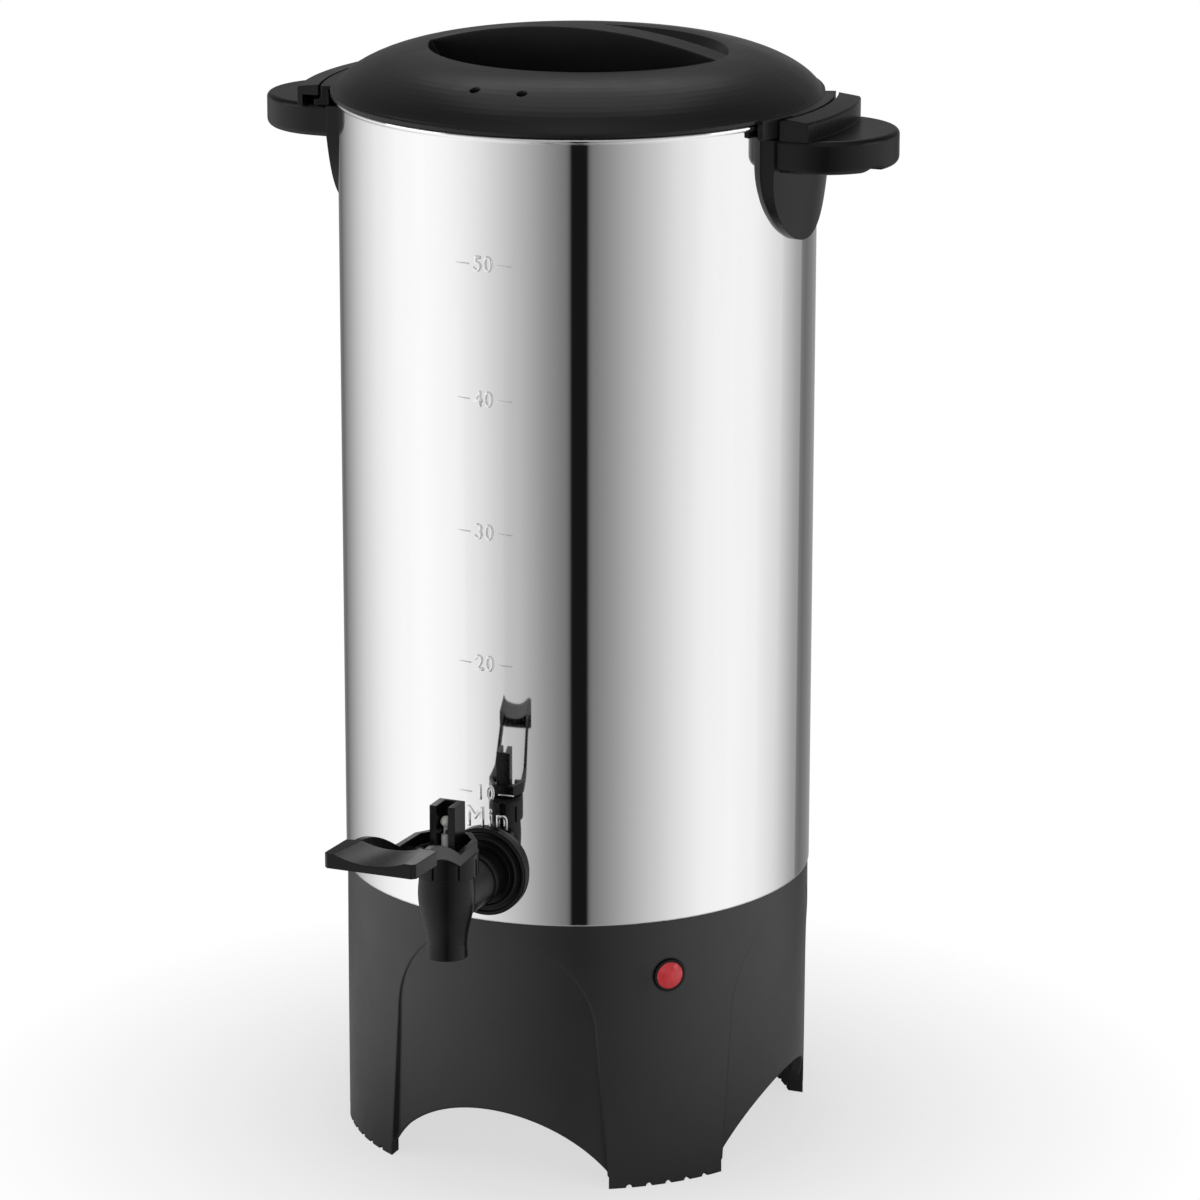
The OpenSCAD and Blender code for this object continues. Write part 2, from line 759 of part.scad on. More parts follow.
module handle() {
    color(black) difference() {
        union() {
            grip();
            collar();
            back_plate();
        }
        translate([0, 0, tongue_top - tongue_r - 5])
            cylinder(r = tank_r, h = tongue_r + handle_t + collar_h + 20, $fn = 180);
        for (s = [-1, 1]) translate([groove_x, s * groove_pitch / 2,
                                     handle_bottom + groove_depth - groove_r])
            rotate([0, 90, 0]) cylinder(r = groove_r, h = 2 * handle_half_w);
        for (a = [-handle_screw_angle, handle_screw_angle]) at_angle(90 + a)
            outward(tank_r - 2, handle_screw_z, handle_screw_r + run_play,
                    handle_screw_len - tank_wall + 2);
    }
}

module handle_right() { handle(); }

module handle_left() { at_angle(180) handle(); }

module handle_screws() {
    color(steel) for (side = [0, 180], a = [-handle_screw_angle, handle_screw_angle])
        at_angle(side + 90 + a) {
            outward(tank_in_r - 0.5, handle_screw_z, handle_screw_r, handle_screw_len);
            outward(tank_in_r - 0.1 - handle_screw_head, handle_screw_z,
                    handle_screw_r + 1.6, handle_screw_head);
        }
}

// ---- Lid ----

// Half section of a dome of radius r_max and height h above the lid's lower edge
module dome_section(r_max, h) {
    steps = 16;
    k = 2 / dome_power;
    polygon(concat([[0, lid_z]],
        [for (n = [0:steps]) let (a = 90 * n / steps)
            [crest_r + (r_max - crest_r) * pow(cos(a), k), lid_z + h * pow(sin(a), k)]],
        [[0, lid_z + h]]));
}

// The two finger pockets, either side of the grip bar, grown all round by g
module pockets(g) {
    up = bar_rise + 5;
    for (a = [0, 180]) at_angle(a) intersection() {
        translate([0, pocket_shift, 0]) union() {
            translate([0, 0, pocket_z - g])
                cylinder(r1 = pocket_floor_r + g, r2 = pocket_r + g, h = pocket_depth + g, $fn = 180);
            translate([0, 0, crest_z - 0.01]) cylinder(r = pocket_r + g, h = up, $fn = 180);
        }
        translate([-lid_r, -lid_r - bar_w / 2 + g, pocket_z - g - 1])
            cube([2 * lid_r, lid_r, pocket_depth + g + up + 2]);
    }
}

// The grip bar, whose top is an arc along its length
module bar_solid(t) {
    intersection() {
        translate([0, 0, bar_top - bar_arc_r]) rotate([90, 0, 0])
            cylinder(r = bar_arc_r - t, h = bar_w, center = true, $fn = 360);
        translate([-bar_half_len - 1, -bar_w, lid_z])
            cube([2 * bar_half_len + 2, 2 * bar_w, bar_top]);
    }
}

module ear() {
    span = ear_lock_angle + ear_open_angle;
    rotate([0, 0, -ear_lock_angle]) rotate_extrude(angle = span, $fn = 180) {
        translate([dome_r - 1, lid_z]) square([ear_r - dome_r + 1, ear_t]);
        translate([ear_in_r, ear_foot_z]) square([ear_r - ear_in_r, lid_z + ear_t - ear_foot_z]);
        translate([ear_in_r, ear_foot_z]) square([ear_foot_r - ear_in_r, ear_foot_t]);
    }
    rotate([0, 0, -ear_lock_angle - ear_tail_angle])
        rotate_extrude(angle = ear_tail_angle + 0.5, $fn = 180) {
            translate([dome_r - 1, lid_z]) square([ear_tail_out_r - dome_r + 1, ear_t]);
            translate([ear_tail_in_r, ear_foot_z])
                square([ear_tail_out_r - ear_tail_in_r, lid_z + ear_t - ear_foot_z]);
        }
}

module lid_outside() {
    difference() {
        union() {
            rotate_extrude($fn = 180) {
                dome_section(dome_r, crest_rise);
                translate([0, lid_z]) square([lid_r, lid_rim_h]);
                translate([0, skirt_z]) square([skirt_r, lid_z - skirt_z + 1]);
            }
            bar_solid(0);
            ear();
            at_angle(180) ear();
        }
        pockets(0);
    }
}

module lid_inside() {
    difference() {
        union() {
            rotate_extrude($fn = 180) {
                dome_section(skirt_in_r, crest_rise - lid_wall);
                translate([0, skirt_z - 1]) square([skirt_in_r, lid_z - skirt_z + 1.01]);
            }
            bar_solid(lid_wall);
        }
        pockets(lid_wall);
    }
}

module lid() {
    color(black) difference() {
        lid_outside();
        lid_inside();
        ring(seal_z, skirt_r - seal_groove, skirt_r + 1, seal_h);
        for (a = [-7, 7]) at_angle(a)
            translate([0, -vent_pcr, lid_z]) cylinder(r = vent_r, h = crest_rise + 5, $fn = 32);
    }
}

module lid_seal() {
    color(silicone) ring(seal_z + run_play, skirt_r - seal_groove + run_play,
                         tank_in_r - run_play, seal_h - 2 * run_play);
}

// ---- Tap ----

// Radius of the nozzle at fraction t of its height, from spout tip to bonnet
function nozzle_r(t) =
    t < 0.12 ? spout_r + 0.25 * (1 - t / 0.12) :
    t < 0.75 ? spout_r + (belly_r - spout_r) * (1 - cos(180 * (t - 0.12) / 0.63)) / 2 :
    belly_r - 0.8 * pow((t - 0.75) / 0.25, 2);

module nozzle() {
    steps = 12;
    h = bonnet_z - spout_z;
    translate([0, -tap_y, 0]) rotate_extrude() polygon(concat(
        [[0, spout_z]],
        [for (n = [0:steps]) [nozzle_r(n / steps), spout_z + h * n / steps]],
        [[neck_r, bonnet_z], [neck_r, bonnet_top - bonnet_roof - seat_gap],
         [0, bonnet_top - bonnet_roof - seat_gap]]));
}

module tap_body() {
    chamber_top = bonnet_top - bonnet_roof;
    color(black) difference() {
        union() {
            nozzle();
            outward(rosette_y, tap_z, shank_r, tap_reach - 5);
            outward(tank_r + 12, tap_z, shank_r + 0.6, 3);
            outward(tank_in_r - 16, tap_z, thread_r, tap_reach + 16);
        }
        translate([0, -tap_y, spout_z - 1]) cylinder(r = bore_r, h = 25);
        translate([0, -tap_y, seat_z - seat_h])
            cylinder(r1 = bore_r, r2 = chamber_r, h = seat_h + 0.001);
        translate([0, -tap_y, seat_z]) cylinder(r = chamber_r, h = chamber_top - seat_z);
        outward(tank_in_r - 17, tap_z, bore_r, tap_reach + 17);
    }
}

module tap_rosette() {
    color(black) difference() {
        union() {
            outward(tank_r - 4, tap_z, rosette_r, 6.2);
            outward(tank_r - 4, tap_z, rosette_r - 3, 7.2);
            outward(tank_r - 4, tap_z, rosette_r - 5.5, 9);
            for (r = [rosette_r - 1.2, rosette_r - 4.2]) translate([0, -tank_r - 2.2, tap_z])
                rotate([90, 0, 0]) rotate_extrude() translate([r, r < rosette_r - 2 ? 1 : 0])
                    circle(r = 0.7, $fn = 24);
        }
        cylinder(r = tank_r, h = z_rim, $fn = 180);
        outward(tank_r - 5, tap_z, gasket_r - 2 + seat_gap, 5 + gasket_y - tank_r);
        outward(tank_r - 5, tap_z, thread_r + run_play, 20);
    }
}

module tap_gasket() {
    color("#3a3a3a") difference() {
        outward(tank_r - 4, tap_z, gasket_r - 2, 4 + gasket_y - tank_r);
        cylinder(r = tank_r, h = z_rim, $fn = 180);
        outward(tank_r - 5, tap_z, thread_r + run_play, 20);
    }
}

module tap_inner_washer() {
    color(silicone) difference() {
        intersection() {
            outward(tank_in_r - 4, tap_z, gasket_r, 6);
            cylinder(r = tank_in_r, h = z_rim, $fn = 180);
        }
        outward(tank_in_r - 5, tap_z, thread_r + run_play, 20);
    }
}

module tap_nut() {
    color(silicone) translate([0, -tank_in_r + 4, tap_z]) rotate([-90, 0, 0]) difference() {
        cylinder(r = thread_r + nut_wall, h = 7, $fn = 6);
        translate([0, 0, -1]) cylinder(r = thread_r + run_play, h = 9);
    }
}

module tap_bonnet() {
    color(black) translate([0, -tap_y, 0]) difference() {
        union() {
            translate([0, 0, bonnet_z]) cylinder(r = bonnet_r, h = bonnet_h - 1);
            translate([0, 0, bonnet_top - 1]) cylinder(r1 = bonnet_r, r2 = bonnet_r - 1, h = 1);
        }
        translate([0, 0, bonnet_z - 1])
            cylinder(r = neck_r + run_play, h = bonnet_h - bonnet_roof + 1);
        translate([0, 0, bonnet_z]) cylinder(r = stem_r + run_play, h = bonnet_h + 1, $fn = 48);
        for (k = [0:7]) at_angle(45 * k)
            translate([-0.6, -bonnet_r - 1, bonnet_z - 1]) cube([1.2, 2, bonnet_h - 2]);
    }
}

module tap_stem() {
    shaft_top = fork_z - fork_t - 1.2;
    color(silicone) translate([0, -tap_y, 0]) {
        translate([0, 0, cup_z + cup_h]) cylinder(r = stem_r, h = shaft_top - cup_z - cup_h, $fn = 48);
        translate([0, 0, shaft_top - 0.5])
            cylinder(r = stem_neck_r, h = ball_z - shaft_top, $fn = 32);
        translate([0, 0, ball_z]) sphere(r = ball_r, $fn = 48);
    }
}

module tap_seat_cup() {
    lip = cup_h / 2;
    taper = (chamber_r - bore_r) * 0.8;
    color(silicone) translate([0, -tap_y, 0]) rotate_extrude() polygon([
        [0, cup_z - 2.5], [bore_r - 1.4, cup_z - 2.5], [cup_r, cup_z + 0.4],
        [cup_r, cup_z + lip], [cup_r - taper, cup_z + lip + 0.4],
        [cup_r - taper, cup_z + cup_h], [0, cup_z + cup_h]]);
}

// A round wire of radius w wound at radius r, from z0 up to z1
module coil(r, w, z0, z1, turns) {
    sides = 8;
    steps = turns * 20;
    points = [for (n = [0:steps]) let (a = 360 * turns * n / steps, z = z0 + (z1 - z0) * n / steps)
              for (k = [0:sides - 1]) let (b = 360 * k / sides, q = r + w * cos(b))
              [q * cos(a), q * sin(a), z + w * sin(b)]];
    walls = [for (n = [0:steps - 1], k = [0:sides - 1]) let (m = (k + 1) % sides)
             [n * sides + k, n * sides + m, (n + 1) * sides + m, (n + 1) * sides + k]];
    polyhedron(points = points, convexity = 10, faces = concat(
        [[for (k = [sides - 1:-1:0]) k]], walls, [[for (k = [0:sides - 1]) steps * sides + k]]));
}

module tap_spring() {
    color(steel) translate([0, -tap_y, 0])
        coil(spring_r, spring_wire, cup_z + cup_h + spring_wire,
             bonnet_top - bonnet_roof - spring_wire, spring_turns);
}

// Side view of the lever: the ring lies low and the arms swing up to the pad
module lever_side() {
    steps = 12;
    run = pad_back - ring_front;
    low = ring_bottom;
    arm_drop = lever_t + 0.7;
    polygon(concat(
        [[ring_back, low], [ring_back, ring_top]],
        [for (n = [0:steps]) [-ring_front - run * n / steps,
                              ring_top + (lever_rise - 0.8) * sin(90 * n / steps)]],
        [[-lever_len, pad_top], [-lever_len, pad_top - arm_drop]],
        [for (n = [steps:-1:0]) [-ring_front - 1 - (run - 1) * n / steps,
                                 low + (pad_top - 0.8 - arm_drop - low) * sin(90 * n / steps)]]));
}

// Top view of the lever, taken in by t
module lever_top(t) {
    waist = ring_half_w + 0.4 - t;
    polygon([
        [-pad_half_w + 1.5, -lever_len], [pad_half_w - 1.5, -lever_len],
        [pad_half_w, -lever_len + 1.5], [pad_half_w, -pad_back], [waist + 1, -pad_back + 1],
        [ring_half_w - t, -ring_front], [ring_half_w - 1 - t, 0], [7.5 - t / 2, ring_back - t],
        [-7.5 + t / 2, ring_back - t], [-ring_half_w + 1 + t, 0], [-ring_half_w + t, -ring_front],
        [-waist - 1, -pad_back + 1], [-pad_half_w, -pad_back], [-pad_half_w, -lever_len + 1.5]]);
}

module lever_frame() {
    intersection() {
        rotate([90, 0, 90]) linear_extrude(height = 2 * pad_half_w + 2, center = true) lever_side();
        translate([0, 0, ring_bottom - 1]) linear_extrude(height = 40) difference() {
            lever_top(0);
            intersection() {
                lever_top(arm_w);
                translate([-pad_half_w, -window_front])
                    square([2 * pad_half_w, window_front + ring_back]);
            }
        }
    }
}

// The upright whose open slot holds the stem's ball over a fork
module lever_tower() {
    slot = ball_r + seat_gap;
    neck_slot = stem_neck_r + 0.25;
    height = tower_top - ring_bottom;
    difference() {
        union() {
            difference() {
                translate([-tower_half_w, -tower_front, ring_bottom])
                    cube([2 * tower_half_w, tower_front + tower_back, height]);
                translate([-slot, -tower_front - 1, ring_bottom - 1])
                    cube([2 * slot, tower_front + tower_in_back + 1, height + 2]);
            }
            translate([-slot - 0.5, -tower_front, fork_z - fork_t])
                cube([2 * slot + 1, tower_front + tower_in_back + 0.5, fork_t]);
        }
        translate([-neck_slot, -tower_front - 1, fork_z - fork_t - 1])
            cube([2 * neck_slot, tower_front + 1 + stem_neck_r + tower_lean, fork_t + 2]);
    }
}

// Two feet inside the ring, on which the lever rocks over the bonnet's rim
module lever_feet() {
    foot_in_x = tower_half_w + 0.7;
    foot_out_x = ring_half_w - 1;
    for (side = [0, 1]) mirror([side, 0, 0])
        translate([foot_in_x, -fulcrum_y - 1.5, ring_bottom])
            cube([foot_out_x - foot_in_x, 3, 1.6]);
}

module tap_lever() {
    color(black) translate([0, -tap_y, 0]) {
        difference() {
            lever_frame();
            translate([0, 0, pad_top - scoop_depth + scoop_r]) rotate([90, 0, 0])
                cylinder(r = scoop_r, h = lever_len + 1, $fn = 180);
        }
        lever_tower();
        lever_feet();
    }
}

// ---- Percolator ----

module pump_base() {
    color(steel) difference() {
        rotate_extrude() union() {
            translate([pump_r - 1, well_in_z]) square([1, pump_h]);
            translate([0, pump_top - 1]) square([pump_r, 1]);
            translate([0, pump_top - 5]) square([tube_r + 1, 5]);
        }
        translate([0, 0, well_in_z - 1]) cylinder(r = tube_r, h = pump_h + 3);
        for (k = [0:3]) at_angle(45 + 90 * k)
            translate([0, -(tube_r + 6), pump_top - 2]) cylinder(r = 1.5, h = 4, $fn = 32);
        for (k = [0:3]) at_angle(90 * k) outward(pump_r - 3, well_in_z, 2.5, 5);
    }
}

module pump_tube() {
    color(steel) {
        ring(pump_top - 4, tube_r - tube_wall, tube_r, tube_top - pump_top + 4);
        ring(pump_top + 3.5, tube_r - 0.1, tube_r + 1.2, 1);
        ring(basket_z - stop_t, tube_r - 0.1, stop_r, stop_t);
    }
}

module pump_washer() {
    color(steel) ring(pump_top, tube_r + 0.4, tube_r + 9, 1);
}

// Rings of drain holes between two radii
module drain_holes(z, r_in, r_out, rows, t) {
    for (n = [0:rows - 1]) let (r = r_in + (r_out - r_in) * n / (rows - 1), count = 6 + 6 * n)
        for (k = [0:count - 1]) at_angle(360 * k / count + 15 * n)
            translate([0, -r, z - 1]) cylinder(r = perf_r, h = t + 2, $fn = 24);
}

module coffee_basket() {
    color(steel) difference() {
        rotate_extrude() union() {
            translate([basket_tube_r, basket_z]) square([basket_r - basket_tube_r, basket_wall]);
            translate([basket_r - basket_wall, basket_z]) square([basket_wall, basket_h]);
            translate([basket_r - basket_wall, basket_top - 1]) square([3, 1]);
            translate([basket_tube_r, basket_z]) square([basket_wall, basket_h - 6]);
        }
        drain_holes(basket_z, drain_in_r, basket_r - drain_margin, 4, basket_wall);
    }
}

module basket_cover() {
    color(steel) difference() {
        rotate_extrude() union() {
            translate([basket_tube_r, basket_top]) square([basket_r - basket_tube_r, cover_rim_t]);
            translate([basket_r - 5, basket_top - 3]) square([1, 3.5]);
            translate([basket_r - 1, basket_top]) square([1, 3]);
        }
        drain_holes(basket_top, drain_in_r, basket_r - cover_margin, 3, cover_rim_t);
    }
}

tank();
tank_studs();
tank_nuts();
base_housing();
base_cover();
cover_screws();
heater_well();
well_gasket();
ring_nut();
brew_heater();
keep_warm_heater();
thermostat();
thermal_fuse();
lamp_holder();
lamp_lens();
lamp_clip();
inlet_socket();
inlet_pins();
inlet_screws();
handle_right();
handle_left();
handle_screws();
lid();
lid_seal();
tap_body();
tap_rosette();
tap_gasket();
tap_inner_washer();
tap_nut();
tap_bonnet();
tap_stem();
tap_seat_cup();
tap_spring();
tap_lever();
pump_base();
pump_tube();
pump_washer();
coffee_basket();
basket_cover();
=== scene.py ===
import json
from math import cos, pi, radians, sin

import bmesh
import bpy
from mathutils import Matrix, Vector


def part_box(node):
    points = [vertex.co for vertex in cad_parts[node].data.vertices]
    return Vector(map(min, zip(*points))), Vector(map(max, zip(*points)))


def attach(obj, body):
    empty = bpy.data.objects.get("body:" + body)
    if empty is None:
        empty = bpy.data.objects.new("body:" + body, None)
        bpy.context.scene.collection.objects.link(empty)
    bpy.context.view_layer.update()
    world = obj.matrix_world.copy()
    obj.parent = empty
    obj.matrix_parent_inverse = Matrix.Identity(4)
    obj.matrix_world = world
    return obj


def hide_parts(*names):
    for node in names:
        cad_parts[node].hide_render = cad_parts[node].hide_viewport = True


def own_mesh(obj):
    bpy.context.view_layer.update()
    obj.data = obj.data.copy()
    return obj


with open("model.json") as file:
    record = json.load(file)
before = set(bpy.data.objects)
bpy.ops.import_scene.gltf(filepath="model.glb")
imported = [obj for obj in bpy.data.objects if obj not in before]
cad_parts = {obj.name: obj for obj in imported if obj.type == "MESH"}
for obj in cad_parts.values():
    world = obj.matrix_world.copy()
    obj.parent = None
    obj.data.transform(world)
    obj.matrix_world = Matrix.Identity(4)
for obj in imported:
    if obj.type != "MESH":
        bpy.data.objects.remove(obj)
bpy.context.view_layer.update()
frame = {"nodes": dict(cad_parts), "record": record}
nodes = frame["nodes"]
record = frame["record"]

# ------------------------------------------------------------------ shader tools


def principled(name):
    """A new material, its node tree and its Principled shader."""
    material = bpy.data.materials.new(name)
    material.use_nodes = True
    tree = material.node_tree
    return material, tree, tree.nodes["Principled BSDF"]


def coords(tree, stretch=(1, 1, 1)):
    """Object coordinates, scaled along each axis."""
    source = tree.nodes.new("ShaderNodeTexCoord")
    mapping = tree.nodes.new("ShaderNodeMapping")
    mapping.inputs["Scale"].default_value = stretch
    tree.links.new(source.outputs["Object"], mapping.inputs["Vector"])
    return mapping.outputs["Vector"]


def noise(tree, where, scale, detail=3.0, rough=0.5):
    node = tree.nodes.new("ShaderNodeTexNoise")
    node.inputs["Scale"].default_value = scale
    node.inputs["Detail"].default_value = detail
    node.inputs["Roughness"].default_value = rough
    tree.links.new(where, node.inputs["Vector"])
    return node.outputs["Fac"]


def ramp(tree, share, stops):
    """A colour ramp; each stop is a place and a grey level or a colour."""
    node = tree.nodes.new("ShaderNodeValToRGB")
    elements = node.color_ramp.elements
    while len(elements) < len(stops):
        elements.new(0.5)
    for element, (place, tint) in zip(elements, stops):
        rgb = (tint, tint, tint) if isinstance(tint, (int, float)) else tint
        element.position = place
        element.color = (*rgb, 1)
    tree.links.new(share, node.inputs["Fac"])
    return node.outputs["Color"]


def vary(tree, share, low, high):
    """Noise spread between two levels or two colours."""
    return ramp(tree, share, [(0.3, low), (0.7, high)])


def math_node(tree, operation, *values):
    node = tree.nodes.new("ShaderNodeMath")
    node.operation = operation
    for socket, value in zip(node.inputs, values):
        if isinstance(value, (int, float)):
            socket.default_value = value
        else:
            tree.links.new(value, socket)
    return node.outputs[0]


def mix_shader(tree, share, first, second):
    node = tree.nodes.new("ShaderNodeMixShader")
    for socket, source in zip(node.inputs, (share, first, second)):
        tree.links.new(source, socket)
    return node.outputs[0]


def bump(tree, shader, height, strength, depth, edge=0.0):
    """Surface grain, and rounded edges of radius edge in metres."""
    node = tree.nodes.new("ShaderNodeBump")
    node.inputs["Strength"].default_value = strength
    node.inputs["Distance"].default_value = depth
    tree.links.new(height, node.inputs["Height"])
    if edge:
        bevel = tree.nodes.new("ShaderNodeBevel")
        bevel.samples = 6
        bevel.inputs["Radius"].default_value = edge
        tree.links.new(bevel.outputs["Normal"], node.inputs["Normal"])
    tree.links.new(node.outputs["Normal"], shader.inputs["Normal"])


# --------------------------------------------------------------------- finishes

# Noise scales of a plastic's tint and roughness, and how far its roughness strays
TINT_SCALE = 30
SHEEN_SCALE = 70
SHEEN_SPREAD = 0.035
# Depth of the grain in metres
PLASTIC_GRAIN = 0.00005
METAL_GRAIN = 0.00002


def plastic(name, dark, light, rough, grain=2600, strength=0.12, edge=0.0006, gloss=0.5):
    """Moulded plastic: faint blotches, patches of sheen, fine grain and soft edges."""
    material, tree, shader = principled(name)
    where = coords(tree)
    tint = vary(tree, noise(tree, where, TINT_SCALE, 4), dark, light)
    sheen = vary(tree, noise(tree, where, SHEEN_SCALE, 5, 0.6),
                 rough - SHEEN_SPREAD, rough + SHEEN_SPREAD)
    tree.links.new(tint, shader.inputs["Base Color"])
    tree.links.new(sheen, shader.inputs["Roughness"])
    shader.inputs["Specular IOR Level"].default_value = gloss
    bump(tree, shader, noise(tree, where, grain, 2, 0.6), strength, PLASTIC_GRAIN, edge)
    return material


def metal(name, dark, light, rough, stretch=(1, 1, 1), scale=400, strength=0.05, spread=0.03,
          edge=0.0):
    """Metal whose noise is stretched along the way it was drawn or brushed."""
    material, tree, shader = principled(name)
    where = coords(tree, stretch)
    tint = vary(tree, noise(tree, where, scale / 12, 4), dark, light)
    sheen = vary(tree, noise(tree, where, scale, 5, 0.6), rough, rough + spread)
    shader.inputs["Metallic"].default_value = 1.0
    tree.links.new(tint, shader.inputs["Base Color"])
    tree.links.new(sheen, shader.inputs["Roughness"])
    bump(tree, shader, noise(tree, where, scale, 3), strength, METAL_GRAIN, edge)
    return material


def clear_plastic(name, dark, light):
    """A tinted lens that lets some light through."""
    material, tree, shader = principled(name)
    where = coords(tree)
    tree.links.new(vary(tree, noise(tree, where, 600, 3), dark, light), shader.inputs["Base Color"])
    shader.inputs["Roughness"].default_value = 0.12
    shader.inputs["Transmission Weight"].default_value = 0.10
    shader.inputs["IOR"].default_value = 1.49
    bump(tree, shader, noise(tree, where, 900, 2), 0.15, PLASTIC_GRAIN, 0.0003)
    return material


FINISHES = {
    "polished_steel": (metal, {
        "dark": (0.90, 0.90, 0.905), "light": (0.93, 0.93, 0.935), "rough": 0.030,
        "stretch": (1, 1, 0.04), "scale": 900, "strength": 0.012, "spread": 0.014,
        "edge": 0.0010}),
    "zinc_steel": (metal, {
        "dark": (0.55, 0.56, 0.57), "light": (0.72, 0.73, 0.74), "rough": 0.28, "scale": 700}),
    "brushed_metal": (metal, {
        "dark": (0.72, 0.72, 0.73), "light": (0.84, 0.84, 0.85), "rough": 0.22,
        "stretch": (1, 1, 0.05), "scale": 1200, "strength": 0.12}),
    "cast_aluminium": (metal, {
        "dark": (0.50, 0.51, 0.52), "light": (0.66, 0.67, 0.68), "rough": 0.42,
        "scale": 500, "strength": 0.3}),
    "base_plastic": (plastic, {
        "dark": (0.0225, 0.0225, 0.0232), "light": (0.0272, 0.0272, 0.0281), "rough": 0.32,
        "grain": 2400, "strength": 0.22, "edge": 0.0014}),
    "black_plastic": (plastic, {
        "dark": (0.0052, 0.0052, 0.0055), "light": (0.0070, 0.0070, 0.0074), "rough": 0.26,
        "grain": 2800, "strength": 0.10, "gloss": 0.23}),
    "lid_plastic": (plastic, {
        "dark": (0.0064, 0.0064, 0.0068), "light": (0.0084, 0.0084, 0.0089), "rough": 0.31,
        "grain": 2400, "edge": 0.0008, "gloss": 0.36}),
    "pale_plastic": (plastic, {
        "dark": (0.82, 0.81, 0.78), "light": (0.90, 0.89, 0.86), "rough": 0.36}),
    "pale_silicone": (plastic, {
        "dark": (0.70, 0.69, 0.66), "light": (0.77, 0.76, 0.73), "rough": 0.48,
        "grain": 1500, "strength": 0.08, "edge": 0.0004}),
    "dark_rubber": (plastic, {
        "dark": (0.02, 0.02, 0.02), "light": (0.035, 0.035, 0.035), "rough": 0.62}),
    "ceramic": (plastic, {
        "dark": (0.60, 0.56, 0.46), "light": (0.72, 0.68, 0.58), "rough": 0.55}),
    "red_lens": (clear_plastic, {
        "dark": (0.90, 0.045, 0.060), "light": (0.97, 0.065, 0.085)}),
}
materials = {name: make(name, **look) for name, (make, look) in FINISHES.items()}

for part in record["subparts"]:
    data = nodes[part["node"]].data
    data.materials.clear()
    data.materials.append(materials[part["material_slot"]])


def piece(name, verts, faces, slot, body):
    """A new mesh with the finish of its slot, riding on a body."""
    mesh = bpy.data.meshes.new(name)
    mesh.from_pydata(verts, [], faces)
    mesh.update()
    mesh.materials.append(materials[slot])
    obj = bpy.data.objects.new(name, mesh)
    bpy.context.scene.collection.objects.link(obj)
    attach(obj, body)
    return obj


# ------------------------------------------------------------------ level marks

TANK_R = 0.095
# How far the marks sink into the steel
SINK = 0.00002
# Height of each mark's middle above the table
MARKS = {"10": 0.1643, "20": 0.2173, "30": 0.2703, "40": 0.3233, "50": 0.3764}
MARK_SIZE = 0.0084
MARK_WIDTH = 0.86
# Where the dashes beside a mark start and end along the tank's face
DASHES = ((-0.0115, -0.0057), (0.0055, 0.0119))
# Half of a dash's height, the same at its rounded back's ridge, and how far it stands out
DASH_HALF = 0.00028
DASH_RIDGE = 0.00003
DASH_TOP = 0.00036
# Space between letters, and how far a letter's stroke is thinned, raised and rounded
LETTER_SPACE = 1.18
STROKE_SHIFT = -0.00001
STROKE_RISE = 0.00026
STROKE_ROUND = 0.00028
LOWEST_X, LOWEST_Z = 0.0006, 0.1538
LOWEST_SIZE = 0.0118
LOWEST_WIDTH = 0.92


def stamp(text, x, z, size, width):
    """A raised word, flat, with its middle at x and z."""
    curve = bpy.data.curves.new("mark", "FONT")
    curve.body = text
    curve.size = size
    curve.align_x, curve.align_y = "CENTER", "CENTER"
    curve.space_character = LETTER_SPACE
    curve.offset = STROKE_SHIFT
    curve.extrude = STROKE_RISE
    curve.bevel_depth = STROKE_ROUND
    curve.bevel_resolution = 3
    obj = bpy.data.objects.new("mark", curve)
    bpy.context.scene.collection.objects.link(obj)
    mesh = obj.evaluated_get(bpy.context.evaluated_depsgraph_get()).to_mesh()
    verts = [(v.co.x * width + x, v.co.y + z, v.co.z) for v in mesh.vertices]
    faces = [tuple(p.vertices) for p in mesh.polygons]
    bpy.data.objects.remove(obj)
    return verts, faces


def dash(x0, x1, z, around=24, rings=3):
    """A raised bar, flat, with rounded ends and a rounded back."""
    verts, faces = [], []
    for k in range(rings + 1):
        a = pi / 2 * k / rings
        half, top = DASH_HALF * cos(a) + DASH_RIDGE, DASH_TOP * sin(a)
        for q in range(around):
            b = 2 * pi * q / around
            x = x1 - DASH_HALF if cos(b) > 0 else x0 + DASH_HALF
            verts.append((x + half * cos(b), z + half * sin(b), top))
    for k in range(rings):
        for q in range(around):
            r = (q + 1) % around
            i, j = k * around, (k + 1) * around
            faces.append((i + q, i + r, j + r, j + q))
    faces.append(tuple(rings * around + q for q in range(around)))
    return verts, faces


def wrapped(name, lumps, radius, slot):
    """Flat lumps joined into one piece and bent round the front of a cylinder."""
    flat, faces = [], []
    for some_verts, some_faces in lumps:
        faces += [tuple(i + len(flat) for i in face) for face in some_faces]
        flat += some_verts
    verts = []
    for x, z, h in flat:
        a = x / radius - pi / 2
        r = radius + h - SINK
        verts.append((r * cos(a), r * sin(a), z))
    obj = piece(name, verts, faces, slot, "root")
    for face in obj.data.polygons:
        face.use_smooth = True
    return obj


lumps = []
for text, z in MARKS.items():
    lumps.append(stamp(text, 0, z, MARK_SIZE, MARK_WIDTH))
    lumps += [dash(x0, x1, z) for x0, x1 in DASHES]
lumps.append(stamp("Min", LOWEST_X, LOWEST_Z, LOWEST_SIZE, LOWEST_WIDTH))
wrapped("level_marks", lumps, TANK_R, "polished_steel")

# ------------------------------------------------------------------- tap spring

SPRING_TURNS = 6
SPRING_WIRE_R = 0.0005


